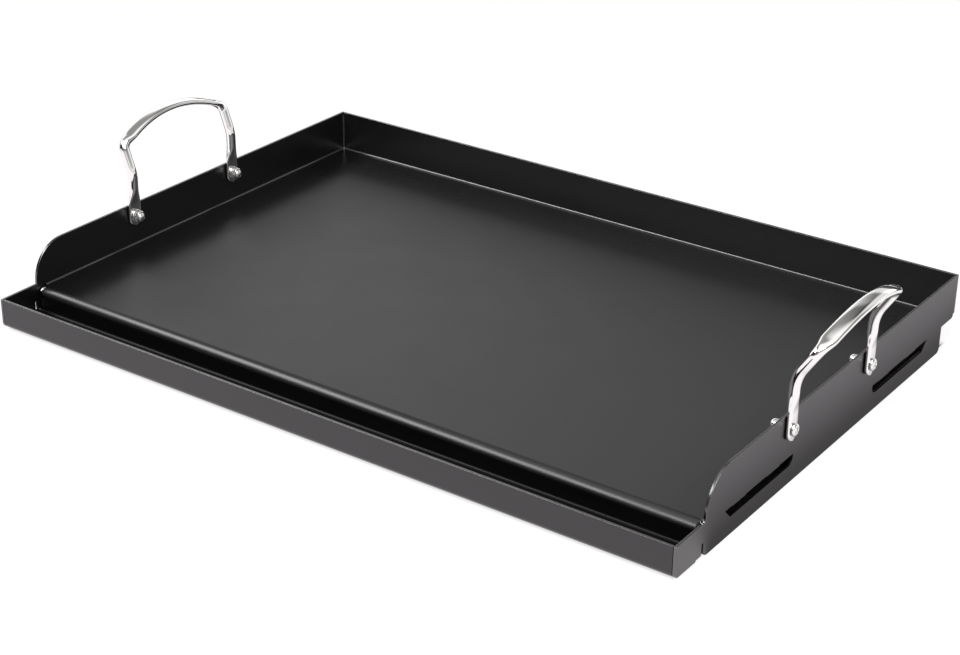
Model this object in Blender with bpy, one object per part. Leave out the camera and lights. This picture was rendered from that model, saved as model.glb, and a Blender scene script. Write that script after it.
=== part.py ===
# Flat-top griddle that lies over the grate of a gas or charcoal grill.
# One folded sheet makes the back wall, the cooking plate, the rolled front edge and the
# grease trough. Two side plates with vent slots are welded to its ends, and each carries
# a bent rod handle held by two screws with washers and domed nuts.
# Frame: X to the right, Y to the back (the trough is at -Y), Z up. The origin is the
# centre of the plan, on the cooking face.

import math

import bmesh
import bpy
from mathutils import Vector

MM = 0.001

# Sheet metal, outside sizes
PLAN_LENGTH = 584 * MM
PLAN_DEPTH = 408 * MM
SHEET = 2.0 * MM
WALL_HEIGHT = 34 * MM
SKIRT_DEPTH = 21 * MM

# Folds of the pan: inside radii
BACK_BEND = 1.5 * MM
ROLL_BEND = 5.5 * MM
TROUGH_BEND = 2.5 * MM

# Grease trough
TROUGH_WIDTH = 34 * MM
TROUGH_DEPTH = 17.7 * MM
TROUGH_RIM = 3.6 * MM

# Side plates
ARC_RADIUS = 29 * MM
SKIRT_FRONT_INSET = 33.6 * MM
SKIRT_REAR_INSET = 22.5 * MM
SKIRT_FRONT_CORNER = 6 * MM
SKIRT_REAR_CORNER = 4 * MM
EDGE_LAP = 0.4 * MM
TROUGH_END_CORNER = 4.5 * MM
TROUGH_END_LIFT = 1.0 * MM
TROUGH_END_LIFT_LENGTH = 6.5 * MM
SLIT_WIDTH = 1.6 * MM
SLIT_TOP = 10 * MM
SLIT_ROUND = 0.79 * MM
RIM_CORNER = 1.0 * MM
EAR_CORNER = 2.5 * MM

# Vent slots, two in each side plate
SLOT_LENGTH = 90 * MM
SLOT_HEIGHT = 7.1 * MM
SLOT_SPACING = 209 * MM
SLOT_SLANT = 7 * MM
SLOT_CORNER = 5.5 * MM

# Relief notches where the roll meets the side plates
RELIEF_WIDTH = 3.2 * MM
RELIEF_LENGTH = 7.5 * MM

# Weld beads
BEAD_LEG = 1.0 * MM
TROUGH_BEAD_LEG = 1.5 * MM
BEAD_HOLLOW = 0.82
STITCH_LENGTH = 18 * MM
STITCH_LEG = 1.5 * MM
STITCHES_PER_SLOT = 2
TACK_LENGTH = 6.5 * MM
TACK_HEIGHT = 4.5 * MM
TACK_SUNK = 1.2 * MM

# Handles: bent from round rod, pressed flat at the feet and along the grip
HANDLE_SPAN = 115 * MM
HANDLE_SHIFT = -5.3 * MM
ROD_DIAMETER = 7.5 * MM
TAB_WIDTH = 12.5 * MM
TAB_THICKNESS = 2.8 * MM
TAB_END = 8.2 * MM
TAB_TIP = 0.16
TAB_SHOULDER = 9 * MM
GRIP_WIDTH = 12 * MM
GRIP_THICKNESS = 4.4 * MM
GRIP_SHOULDER = 8 * MM
ROD_SET_BACK = 0.5 * MM
LEFT_LEG_LEAN = math.radians(20.2)
RIGHT_LEG_LEAN = math.radians(32.5)
GRIP_LEAN = math.radians(20)
LEFT_SCREW_BELOW_RIM = 8.7 * MM
RIGHT_SCREW_BELOW_RIM = 11.3 * MM
SHOULDER_ABOVE_RIM = 0.2 * MM
KINK_ABOVE_RIM = 26 * MM
CORNER_ABOVE_RIM = 48.4 * MM
GRIP_RISE = 14.5 * MM
KINK_RADIUS = 32 * MM
CORNER_RADIUS = 8 * MM
TAB_SQUARENESS = 6
GRIP_SQUARENESS = 3

# Fasteners
SCREW_DIAMETER = 5.0 * MM
HEAD_DIAMETER = 9.2 * MM
HEAD_HEIGHT = 2.4 * MM
HEAD_RIM = 0.8 * MM
HEAD_FULLNESS = 0.6
RECESS_WIDTH = 1.2 * MM
RECESS_SPAN = 4.8 * MM
RECESS_DEPTH = 1.4 * MM
WASHER_DIAMETER = 10 * MM
WASHER_THICKNESS = 1.0 * MM
NUT_FLATS = 8.0 * MM
NUT_HEX_HEIGHT = 3.8 * MM
LEFT_NUT_HEIGHT = 5.7 * MM
RIGHT_NUT_HEIGHT = 10.0 * MM
NUT_DOME = 7.4 * MM
NUT_CHAMFER = 0.5 * MM
NUT_CROWN_WALL = 1.8 * MM

# Clearances
GAP = 0.3 * MM

# Facets
ARC_STEPS = 10
ROUND_SIDES = 20
SECTION_SIDES = 16
BEAD_STEPS = 4
ARCH_STEPS = 22
KINK_STEPS = 5
CORNER_STEPS = 6
TAB_STEPS = 6
SHOULDER_STEPS = 6
CROWN_STEPS = 6

# Places that several pieces share
SIDE_OUT = PLAN_LENGTH / 2
SIDE_IN = SIDE_OUT - SHEET
PAN_END = SIDE_IN - GAP
FRONT_OUT = -PLAN_DEPTH / 2
FRONT_IN = FRONT_OUT + SHEET
BACK_OUT = PLAN_DEPTH / 2
BACK_IN = BACK_OUT - SHEET
TROUGH_REAR = FRONT_IN + TROUGH_WIDTH
SKIRT_FRONT = FRONT_OUT + SKIRT_FRONT_INSET
SKIRT_REAR = BACK_OUT - SKIRT_REAR_INSET
SKIRT_MIDDLE = (SKIRT_FRONT + SKIRT_REAR) / 2
HOLE_DIAMETER = SCREW_DIAMETER + 2 * GAP
HANDLE_FEET = (HANDLE_SHIFT - HANDLE_SPAN / 2, HANDLE_SHIFT + HANDLE_SPAN / 2)


def clear_scene():
    for item in list(bpy.data.objects):
        bpy.data.objects.remove(item, do_unlink=True)


def make_material(name, color, roughness, metallic):
    material = bpy.data.materials.new(name)
    material.use_nodes = True
    shader = material.node_tree.nodes["Principled BSDF"]
    shader.inputs["Base Color"].default_value = (*color, 1.0)
    shader.inputs["Roughness"].default_value = roughness
    shader.inputs["Metallic"].default_value = metallic
    return material


def coated_steel(name):
    return make_material(name, (0.035, 0.034, 0.035), 0.45, 0.3)


def weld_metal(name):
    return make_material(name, (0.06, 0.06, 0.062), 0.4, 0.6)


def polished_stainless(name):
    return make_material(name, (0.62, 0.61, 0.60), 0.12, 1.0)


def zinc_steel(name):
    return make_material(name, (0.55, 0.55, 0.54), 0.25, 1.0)


def add_object(name, mesh, material=None):
    item = bpy.data.objects.new(name, mesh)
    if material is not None:
        mesh.materials.append(material)
    bpy.context.collection.objects.link(item)
    return item


def mesh_from_bmesh(name, shape):
    bmesh.ops.recalc_face_normals(shape, faces=shape.faces)
    mesh = bpy.data.meshes.new(name)
    shape.to_mesh(mesh)
    shape.free()
    return mesh


def smooth_round_faces(item, angle=math.radians(35)):
    item.data.shade_smooth()
    item.data.set_sharp_from_angle(angle=angle)


def rounded(corners, steps=ARC_STEPS):
    """Points of a closed outline whose corners (y, z, radius) are rounded by arcs."""
    points = []
    count = len(corners)
    for index, (y, z, radius) in enumerate(corners):
        corner = Vector((y, z))
        if radius <= 0:
            points.append(corner)
            continue
        before = Vector(corners[index - 1][:2]) - corner
        after = Vector(corners[(index + 1) % count][:2]) - corner
        points.extend(fillet(corner, before.normalized(), after.normalized(), radius, steps))
    return points


def fillet(corner, towards_a, towards_b, radius, steps):
    """Arc of the given radius that is tangent to both directions away from a corner."""
    half = towards_a.angle(towards_b) / 2
    reach = radius / math.tan(half)
    centre = corner + (towards_a + towards_b).normalized() * (radius / math.sin(half))
    start = corner + towards_a * reach - centre
    end = corner + towards_b * reach - centre
    sweep = start.angle(end)
    arc = []
    for step in range(steps + 1):
        share = step / steps
        point = start * math.sin((1 - share) * sweep) + end * math.sin(share * sweep)
        arc.append(centre + point / math.sin(sweep))
    return arc


def prism(name, outline, low_x, high_x):
    """A closed outline in the YZ plane, extruded from low_x to high_x."""
    shape = bmesh.new()
    ring = [shape.verts.new((low_x, y, z)) for y, z in outline]
    face = shape.faces.new(ring)
    swept = bmesh.ops.extrude_face_region(shape, geom=[face])
    moved = [part for part in swept["geom"] if isinstance(part, bmesh.types.BMVert)]
    bmesh.ops.translate(shape, verts=moved, vec=(high_x - low_x, 0, 0))
    return mesh_from_bmesh(name, shape)


def boolean(item, other, operation, name):
    modifier = item.modifiers.new(name, "BOOLEAN")
    modifier.object = other
    modifier.operation = operation
    modifier.solver = "EXACT"
    other.hide_render = True
    other.display_type = "WIRE"


def turned(name, profile, sides=ROUND_SIDES, ring_shaped=False):
    """A profile of (distance along X, radius) turned about the X axis; a ring's profile closes."""
    shape = bmesh.new()
    rings = []
    for along, radius in profile:
        if radius == 0:
            rings.append([shape.verts.new((along, 0, 0))])
            continue
        angles = [2 * math.pi * side / sides for side in range(sides)]
        rings.append([shape.verts.new((along, radius * math.cos(a), radius * math.sin(a))) for a in angles])
    pairs = list(zip(rings, rings[1:]))
    if ring_shaped:
        pairs.append((rings[-1], rings[0]))
    for first, second in pairs:
        for side in range(sides):
            corners = [first[side % len(first)], first[(side + 1) % len(first)],
                       second[(side + 1) % len(second)], second[side % len(second)]]
            shape.faces.new(list(dict.fromkeys(corners)))
    return mesh_from_bmesh(name, shape)


def strip_outline(corners, thickness):
    """Outline of a folded strip whose middle line runs through corners (y, z, radius)."""
    line = [Vector(corner[:2]) for corner in corners]
    left = []
    right = []
    for index, corner in enumerate(corners):
        point = line[index]
        if index in (0, len(corners) - 1):
            other = line[1] if index == 0 else line[-2]
            along = (other - point if index == 0 else point - other).normalized()
            side = Vector((-along.y, along.x)) * thickness / 2
            left.append(point + side)
            right.append(point - side)
            continue
        to_before = (line[index - 1] - point).normalized()
        to_after = (line[index + 1] - point).normalized()
        turn = -to_before.x * to_after.y + to_before.y * to_after.x
        grow = thickness / 2 if turn > 0 else -thickness / 2
        middle = (to_before + to_after).normalized()
        half = to_before.angle(to_after) / 2
        for side_list, change in ((left, -grow), (right, grow)):
            shifted = point + middle * (-change / math.sin(half))
            side_list.extend(fillet(shifted, to_before, to_after, corner[2] + change, ARC_STEPS))
    return left + right[::-1]


def make_pan():
    """Back wall, cooking plate, rolled front edge and grease trough, folded from one sheet."""
    middle = SHEET / 2
    line = [
        (BACK_OUT - middle, WALL_HEIGHT, 0),
        (BACK_OUT - middle, -middle, BACK_BEND + middle),
        (TROUGH_REAR + middle, -middle, ROLL_BEND + middle),
        (TROUGH_REAR + middle, -TROUGH_DEPTH - middle, TROUGH_BEND + middle),
        (FRONT_OUT + middle, -TROUGH_DEPTH - middle, TROUGH_BEND + middle),
        (FRONT_OUT + middle, TROUGH_RIM, 0),
    ]
    sheet = prism("pan", strip_outline(line, SHEET), -SIDE_OUT, SIDE_OUT)
    pan = add_object("pan", sheet, coated_steel("pan coating"))
    above = WALL_HEIGHT + SKIRT_DEPTH
    room = [
        (FRONT_OUT - SHEET, -above),
        (BACK_OUT + SHEET, -above),
        (BACK_OUT + SHEET, EAR_CORNER),
        (BACK_IN, EAR_CORNER),
        (BACK_IN, above),
        (FRONT_OUT - SHEET, above),
    ]
    notch = [
        (TROUGH_REAR - SHEET, -ROLL_BEND - SHEET - BEAD_LEG),
        (TROUGH_REAR + RELIEF_LENGTH, -ROLL_BEND - SHEET - BEAD_LEG),
        (TROUGH_REAR + RELIEF_LENGTH, SHEET),
        (TROUGH_REAR - SHEET, SHEET),
    ]
    for side, label in ((-1, "left"), (1, "right")):
        inner, outer = sorted((side * PAN_END, side * (SIDE_OUT + SHEET)))
        room_cutter = add_object(label + " side plate room", prism("room", room, inner, outer))
        boolean(pan, room_cutter, "DIFFERENCE", label + " end")
        inner, outer = sorted((side * (PAN_END - RELIEF_WIDTH), side * (PAN_END + SHEET)))
        notch_cutter = add_object(label + " relief notch", prism("notch", notch, inner, outer))
        boolean(pan, notch_cutter, "DIFFERENCE", label + " relief")
    smooth_round_faces(pan)
    return pan


def side_plate_outline():
    """Upper wall, front arc, trough end and skirt of a side plate, clockwise from the trough."""
    trough_bottom = -TROUGH_DEPTH - SHEET
    slit_front = SKIRT_FRONT - SLIT_WIDTH
    lift_start = slit_front - TROUGH_END_LIFT_LENGTH
    arc_foot = SKIRT_FRONT + SHEET - EDGE_LAP
    plate_rear = BACK_IN - GAP
    return rounded([
        (FRONT_OUT, trough_bottom, TROUGH_END_CORNER),
        (FRONT_OUT, TROUGH_RIM, RIM_CORNER),
        (arc_foot, TROUGH_RIM, 0),
        (arc_foot, WALL_HEIGHT, ARC_RADIUS),
        (plate_rear, WALL_HEIGHT, 0),
        (plate_rear, -EDGE_LAP, EAR_CORNER),
        (SKIRT_REAR, -EDGE_LAP, RIM_CORNER),
        (SKIRT_REAR, -SKIRT_DEPTH, SKIRT_REAR_CORNER),
        (SKIRT_FRONT, -SKIRT_DEPTH, SKIRT_FRONT_CORNER),
        (SKIRT_FRONT, -SLIT_TOP, SLIT_ROUND),
        (slit_front, -SLIT_TOP, SLIT_ROUND),
        (slit_front, trough_bottom + TROUGH_END_LIFT, 0),
        (lift_start, trough_bottom + TROUGH_END_LIFT, 0),
        (lift_start, trough_bottom, 0),
    ])


def slot_outline(direction):
    """A vent slot: blunt and rounded towards the middle, slanted at its far end."""
    near = SKIRT_MIDDLE + direction * (SLOT_SPACING - SLOT_LENGTH) / 2
    far = near + direction * SLOT_LENGTH
    bottom = -EDGE_LAP - SLOT_HEIGHT
    return rounded([
        (near, -EDGE_LAP, 0),
        (far, -EDGE_LAP, 0),
        (far - direction * SLOT_SLANT, bottom, RIM_CORNER),
        (near, bottom, SLOT_CORNER),
    ])


def screw_height(side):
    return WALL_HEIGHT - (RIGHT_SCREW_BELOW_RIM if side > 0 else LEFT_SCREW_BELOW_RIM)


def make_side_plate(side, label):
    """A flat side plate with its vent slots and the holes for the handle's screws."""
    low, high = sorted((side * SIDE_IN, side * SIDE_OUT))
    name = label + "_side_plate"
    sheet = prism(name, side_plate_outline(), low, high)
    plate = add_object(name, sheet, coated_steel(label + " plate coating"))
    for direction, place in ((-1, "front"), (1, "rear")):
        hole = prism("slot", slot_outline(direction), low - SHEET, high + SHEET)
        cutter = add_object(f"{label} {place} slot", hole)
        boolean(plate, cutter, "DIFFERENCE", place + " slot")
    for place, foot in zip(("front", "rear"), HANDLE_FEET):
        profile = [(-SHEET, 0), (-SHEET, HOLE_DIAMETER / 2), (SHEET, HOLE_DIAMETER / 2), (SHEET, 0)]
        cutter = add_object(f"{label} {place} plate hole", turned("hole", profile))
        cutter.location = ((low + high) / 2, foot, screw_height(side))
        boolean(plate, cutter, "DIFFERENCE", place + " hole")
    smooth_round_faces(plate)
    return plate


def bead_section(leg):
    """Quarter section of a fillet weld with a slightly hollow face, in its own corner."""
    arc = []
    for step in range(BEAD_STEPS + 1):
        angle = math.pi / 2 * step / BEAD_STEPS
        out = leg * (1 - BEAD_HOLLOW * math.sin(angle))
        up = leg * (1 - BEAD_HOLLOW * math.cos(angle))
        arc.append(Vector((out, up)))
    return [Vector((0, 0)), Vector((leg, 0))] + arc[1:-1] + [Vector((0, leg))]


def make_bead(name, route, side, leg, material):
    """A fillet bead in the corner between a side plate and the sheet that the route follows.

    The route holds (y, z) points a gap away from the sheet, and the direction away from it.
    """
    section = bead_section(leg)
    shape = bmesh.new()
    rings = []
    face_x = side * PAN_END
    for (y, z), (away_y, away_z) in route:
        ring = []
        for out, up in section:
            ring.append(shape.verts.new((face_x - side * out, y + away_y * up, z + away_z * up)))
        rings.append(ring)
    count = len(section)
    for first, second in zip(rings, rings[1:]):
        for index in range(count):
            after = (index + 1) % count
            shape.faces.new((first[index], first[after], second[after], second[index]))
    shape.faces.new(rings[0])
    shape.faces.new(rings[-1][::-1])
    return add_object(name, mesh_from_bmesh(name, shape), material)


def make_side_bead(side, label):
    """The inside bead: along the plate, round the back bend and up the back wall."""
    start = TROUGH_REAR + RELIEF_LENGTH + GAP
    radius = max(BACK_BEND - GAP, BEAD_LEG + GAP)
    centre = Vector((BACK_IN - GAP - radius, GAP + radius))
    route = [((start, GAP), (0, 1))]
    for step in range(ARC_STEPS + 1):
        angle = math.pi / 2 * step / ARC_STEPS
        across = Vector((math.sin(angle), -math.cos(angle)))
        route.append((tuple(centre + across * radius), tuple(-across)))
    route.append(((BACK_IN - GAP, WALL_HEIGHT - SHEET), (-1, 0)))
    return make_bead(label + "_side_weld", route, side, BEAD_LEG, weld_metal(label + " side weld metal"))


def make_trough_bead(side, label):
    """The bead in each end of the trough: down its front wall, along the floor and up the rear."""
    radius = max(TROUGH_BEND - GAP, TROUGH_BEAD_LEG + GAP)
    middle = -TROUGH_DEPTH + GAP + radius
    front = Vector((FRONT_IN + GAP + radius, middle))
    rear = Vector((TROUGH_REAR - GAP - radius, middle))
    route = [((FRONT_IN + GAP, TROUGH_RIM - SHEET), (1, 0))]
    for step in range(ARC_STEPS + 1):
        angle = math.pi / 2 * step / ARC_STEPS
        across = Vector((-math.cos(angle), -math.sin(angle)))
        route.append((tuple(front + across * radius), tuple(-across)))
    for step in range(ARC_STEPS + 1):
        angle = math.pi / 2 * step / ARC_STEPS
        across = Vector((math.sin(angle), -math.cos(angle)))
        route.append((tuple(rear + across * radius), tuple(-across)))
    route.append(((TROUGH_REAR - GAP, -ROLL_BEND - SHEET - BEAD_LEG - SHEET), (-1, 0)))
    metal = weld_metal(label + " trough weld metal")
    return make_bead(label + "_trough_weld", route, side, TROUGH_BEAD_LEG, metal)


def make_roll_tack(side, label):
    """A rounded tack weld that fills the relief notch between the roll's end and the plate."""
    shape = bmesh.new()
    bmesh.ops.create_uvsphere(shape, u_segments=ROUND_SIDES, v_segments=ARC_STEPS, radius=0.5)
    width = SIDE_IN - GAP - (PAN_END - RELIEF_WIDTH + GAP)
    bmesh.ops.scale(shape, verts=shape.verts, vec=(width, TACK_LENGTH, TACK_HEIGHT))
    middle = Vector((
        side * (SIDE_IN - GAP - width / 2),
        TROUGH_REAR + RELIEF_LENGTH - GAP - TACK_LENGTH / 2,
        -TACK_SUNK - TACK_HEIGHT / 2 + SHEET / 2,
    ))
    bmesh.ops.translate(shape, verts=shape.verts, vec=middle)
    name = label + "_roll_tack"
    tack = add_object(name, mesh_from_bmesh(name, shape), weld_metal(label + " tack metal"))
    smooth_round_faces(tack)
    return tack


def make_stitch_beads(side, label):
    """Short beads under the cooking plate, above the vent slots, each its own piece."""
    pitch = SLOT_LENGTH / STITCHES_PER_SLOT
    number = 0
    for direction in (-1, 1):
        middle = SKIRT_MIDDLE + direction * SLOT_SPACING / 2
        for place in range(STITCHES_PER_SLOT):
            number += 1
            centre = middle + (place - (STITCHES_PER_SLOT - 1) / 2) * pitch
            height = -SHEET - GAP
            reach = STITCH_LENGTH / 2
            route = [((centre - reach, height), (0, -1)), ((centre + reach, height), (0, -1))]
            name = f"{label}_stitch_weld_{number}"
            make_bead(name, route, side, STITCH_LEG, weld_metal(name + " metal"))


def handle_path(side):
    """Middle line of a handle, as (lean, along, height) points from one tab end to the other.

    The middle of each pressed tab stands a little to the leaning side of the rod's middle.
    """
    half = HANDLE_SPAN / 2
    kink = WALL_HEIGHT + KINK_ABOVE_RIM
    corner = WALL_HEIGHT + CORNER_ABOVE_RIM
    rod = -ROD_SET_BACK
    leg_lean = RIGHT_LEG_LEAN if side > 0 else LEFT_LEG_LEAN
    corner_lean = rod + (corner - kink) * math.tan(leg_lean)
    arch = []
    for step in range(ARCH_STEPS + 1):
        share = 2 * step / ARCH_STEPS - 1
        rise = GRIP_RISE * (1 - share * share)
        arch.append(Vector((corner_lean + rise * math.tan(GRIP_LEAN), share * half, corner + rise)))
    bottom = screw_height(side) - TAB_END
    shoulder = WALL_HEIGHT + SHOULDER_ABOVE_RIM
    leg = []
    for step in range(TAB_STEPS + 1):
        height = bottom + TAB_WIDTH / 2 * (1 - math.cos(math.pi / 2 * step / TAB_STEPS))
        leg.append(Vector((0, -half, height)))
    for step in range(SHOULDER_STEPS + 1):
        share = step / SHOULDER_STEPS
        leg.append(Vector((rod * smooth_step(share), -half, shoulder + TAB_SHOULDER * share)))
    kink_point = Vector((rod, -half, kink))
    down = (leg[-1] - kink_point).normalized()
    along_leg = (arch[0] - kink_point).normalized()
    along_grip = (arch[2] - arch[0]).normalized()
    bend = fillet(kink_point, down, along_leg, KINK_RADIUS, KINK_STEPS)
    turn = fillet(arch[0], -along_leg, along_grip, CORNER_RADIUS, CORNER_STEPS)
    near = leg + bend + turn
    far = [Vector((point.x, -point.y, point.z)) for point in reversed(near)]
    grip = [point for point in arch if abs(point.y) < abs(turn[-1].y) - GRIP_THICKNESS / 2]
    return near + grip + far


def smooth_step(value):
    value = min(max(value, 0.0), 1.0)
    return value * value * (3 - 2 * value)


def handle_section(side, lengths, index, points):
    """Half width in the handle's plane, half width across it, and roundness, at one point."""
    total = lengths[-1]
    travelled = min(lengths[index], total - lengths[index])
    radius = ROD_DIAMETER / 2
    tab_length = WALL_HEIGHT + SHOULDER_ABOVE_RIM - (screw_height(side) - TAB_END)
    to_rod = smooth_step((travelled - tab_length) / TAB_SHOULDER)
    tab_half = TAB_WIDTH / 2
    if travelled < tab_half:
        short = tab_half - travelled
        tab_half = math.sqrt(max(tab_half ** 2 - short ** 2, (TAB_TIP * tab_half) ** 2))
    in_plane = tab_half * (1 - to_rod) + radius * to_rod
    across = TAB_THICKNESS / 2 * (1 - to_rod) + radius * to_rod
    power = TAB_SQUARENESS * (1 - to_rod) + 2 * to_rod
    if points[index].z > WALL_HEIGHT + CORNER_ABOVE_RIM - CORNER_RADIUS:
        to_grip = smooth_step((HANDLE_SPAN / 2 - abs(points[index].y)) / GRIP_SHOULDER)
        in_plane = in_plane * (1 - to_grip) + GRIP_THICKNESS / 2 * to_grip
        across = across * (1 - to_grip) + GRIP_WIDTH / 2 * to_grip
        power = power * (1 - to_grip) + GRIP_SQUARENESS * to_grip
    return in_plane, across, power


def superellipse(across, in_plane, power):
    points = []
    for side in range(SECTION_SIDES):
        angle = 2 * math.pi * side / SECTION_SIDES
        cosine = math.cos(angle)
        sine = math.sin(angle)
        points.append((
            across * math.copysign(abs(cosine) ** (2 / power), cosine),
            in_plane * math.copysign(abs(sine) ** (2 / power), sine),
        ))
    return points


def make_handle(side, tab_middle, label):
    """A rod handle: pressed feet, round legs that lean out, and a pressed, arched grip."""
    points = handle_path(side)
    lengths = [0.0]
    for first, second in zip(points, points[1:]):
        lengths.append(lengths[-1] + (second - first).length)
    shape = bmesh.new()
    rings = []
    for index, point in enumerate(points):
        before = points[max(index - 1, 0)]
        after = points[min(index + 1, len(points) - 1)]
        along = (after - before).normalized()
        out = Vector((1, 0, 0))
        out = (out - along * along.dot(out)).normalized()
        up = along.cross(out)
        in_plane, across, power = handle_section(side, lengths, index, points)
        ring = []
        for wide, thick in superellipse(across, in_plane, power):
            place = point + out * wide + up * thick
            ring.append(shape.verts.new((side * place.x, place.y, place.z)))
        rings.append(ring)
    for first, second in zip(rings, rings[1:]):
        for index in range(SECTION_SIDES):
            after = (index + 1) % SECTION_SIDES
            shape.faces.new((first[index], first[after], second[after], second[index]))
    shape.faces.new(rings[0])
    shape.faces.new(rings[-1][::-1])
    name = label + "_handle"
    rod = mesh_from_bmesh(name, shape)
    handle = add_object(name, rod, polished_stainless(label + " handle steel"))
    handle.location = (tab_middle, HANDLE_SHIFT, 0)
    for place, foot in zip(("front", "rear"), HANDLE_FEET):
        reach = ROD_DIAMETER
        profile = [(-reach, 0), (-reach, HOLE_DIAMETER / 2), (reach, HOLE_DIAMETER / 2), (reach, 0)]
        cutter = add_object(f"{label} {place} tab hole", turned("tab hole", profile))
        cutter.location = (tab_middle, foot, screw_height(side))
        boolean(handle, cutter, "DIFFERENCE", place + " hole")
    smooth_round_faces(handle)
    return handle


def screw_mesh(shank_length):
    """A pan head screw that points along -X, its head's underside at x = 0."""
    radius = HEAD_DIAMETER / 2
    shank = SCREW_DIAMETER / 2
    profile = [(-shank_length, 0), (-shank_length, shank), (0, shank), (0, radius), (HEAD_RIM, radius)]
    for step in range(1, CROWN_STEPS):
        angle = math.pi / 2 * step / CROWN_STEPS
        height = HEAD_RIM + (HEAD_HEIGHT - HEAD_RIM) * math.sin(angle)
        profile.append((height, radius * math.cos(angle) ** HEAD_FULLNESS))
    profile.append((HEAD_HEIGHT, 0))
    return turned("screw", profile)


def recess_outline():
    """A cross, for the driver's recess in a screw head."""
    wide = RECESS_WIDTH / 2
    far = RECESS_SPAN / 2
    return [(-far, -wide), (-wide, -wide), (-wide, -far), (wide, -far), (wide, -wide), (far, -wide),
            (far, wide), (wide, wide), (wide, far), (-wide, far), (-wide, wide), (-far, wide)]


def nut_height(side):
    return RIGHT_NUT_HEIGHT if side > 0 else LEFT_NUT_HEIGHT


def nut_bore_depth(side):
    return nut_height(side) - NUT_CROWN_WALL


def make_screw(side, head_seat, foot, name):
    """A screw whose head stands outside, with its shank through the plate and the tab."""
    stack = SHEET + TAB_THICKNESS + WASHER_THICKNESS + 3 * GAP
    shank = stack + nut_bore_depth(side) - GAP
    screw = add_object(name, screw_mesh(shank), zinc_steel(name + " plating"))
    screw.location = (head_seat, foot, screw_height(side))
    screw.rotation_euler = (0, 0, 0 if side > 0 else math.pi)
    cross = prism("recess", recess_outline(), HEAD_HEIGHT - RECESS_DEPTH, HEAD_HEIGHT + SHEET)
    cutter = add_object(name + " recess", cross)
    cutter.parent = screw
    boolean(screw, cutter, "DIFFERENCE", "recess")
    smooth_round_faces(screw)
    return screw


def make_washer(side, seat, foot, name):
    """A plain washer, seated against the side plate or the tab, on the inner side."""
    inner = HOLE_DIAMETER / 2
    outer = WASHER_DIAMETER / 2
    profile = [(0, inner), (0, outer), (-WASHER_THICKNESS, outer), (-WASHER_THICKNESS, inner)]
    washer = add_object(name, turned("washer", profile, ring_shaped=True), zinc_steel(name + " plating"))
    washer.location = (seat, foot, screw_height(side))
    washer.rotation_euler = (0, 0, 0 if side > 0 else math.pi)
    smooth_round_faces(washer)
    return washer


def make_nut(side, seat, foot, name):
    """A domed cap nut: chamfered hexagon, round crown and a blind bore, crown along -X."""
    corner = NUT_FLATS / math.cos(math.pi / 6) / 2
    top = -NUT_HEX_HEIGHT
    hexagon = turned("hexagon", [(0, 0), (0, corner), (top, corner), (top, 0)], sides=6)
    nut = add_object(name, hexagon, zinc_steel(name + " plating"))
    nut.location = (seat, foot, screw_height(side))
    nut.rotation_euler = (0, 0, 0 if side > 0 else math.pi)
    flat = NUT_FLATS / 2
    barrel = [(SHEET, 0), (SHEET, corner), (top + NUT_CHAMFER, corner), (top, flat),
              (top - SHEET, flat / 2), (top - SHEET, 0)]
    barrel_item = add_object(name + " chamfer", turned("barrel", barrel))
    barrel_item.parent = nut
    boolean(nut, barrel_item, "INTERSECT", "chamfer")
    radius = NUT_DOME / 2
    height = nut_height(side)
    crown = [(top / 2, 0), (top / 2, radius)]
    for step in range(CROWN_STEPS):
        angle = math.pi / 2 * step / CROWN_STEPS
        crown.append((radius - height - radius * math.sin(angle), radius * math.cos(angle)))
    crown.append((-height, 0))
    crown_item = add_object(name + " crown", turned("crown", crown))
    crown_item.parent = nut
    boolean(nut, crown_item, "UNION", "crown")
    hole = HOLE_DIAMETER / 2
    depth = nut_bore_depth(side)
    bore = [(SHEET, 0), (SHEET, hole), (-depth, hole), (-depth, 0)]
    bore_item = add_object(name + " bore", turned("bore", bore))
    bore_item.parent = nut
    boolean(nut, bore_item, "DIFFERENCE", "bore")
    smooth_round_faces(nut)
    return nut


def make_side(side, label):
    """One end of the griddle: side plate, its welds, and the handle with its fasteners.

    The right handle's tabs lie outside the side plate and the left handle's inside it.
    """
    make_side_plate(side, label)
    make_side_bead(side, label)
    make_trough_bead(side, label)
    make_roll_tack(side, label)
    make_stitch_beads(side, label)
    outside = side > 0
    if outside:
        tab_middle = SIDE_OUT + GAP + TAB_THICKNESS / 2
        head_seat = SIDE_OUT + 2 * GAP + TAB_THICKNESS
        washer_seat = SIDE_IN - GAP
    else:
        tab_middle = -(SIDE_IN - GAP - TAB_THICKNESS / 2)
        head_seat = -(SIDE_OUT + GAP)
        washer_seat = -(SIDE_IN - 2 * GAP - TAB_THICKNESS)
    nut_seat = washer_seat - side * (WASHER_THICKNESS + GAP)
    make_handle(side, tab_middle, label)
    for place, foot in zip(("front", "rear"), HANDLE_FEET):
        make_screw(side, head_seat, foot, f"{label}_{place}_screw")
        make_washer(side, washer_seat, foot, f"{label}_{place}_washer")
        make_nut(side, nut_seat, foot, f"{label}_{place}_cap_nut")


clear_scene()
make_pan()
make_side(-1, "left")
make_side(1, "right")
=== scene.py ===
# Flat-top griddle in satin black coated steel, with polished rod handles and bright fasteners,
# set on a pale floor in front of a white background.

import math

import bmesh
import bpy
from mathutils import Matrix, Vector


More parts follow.
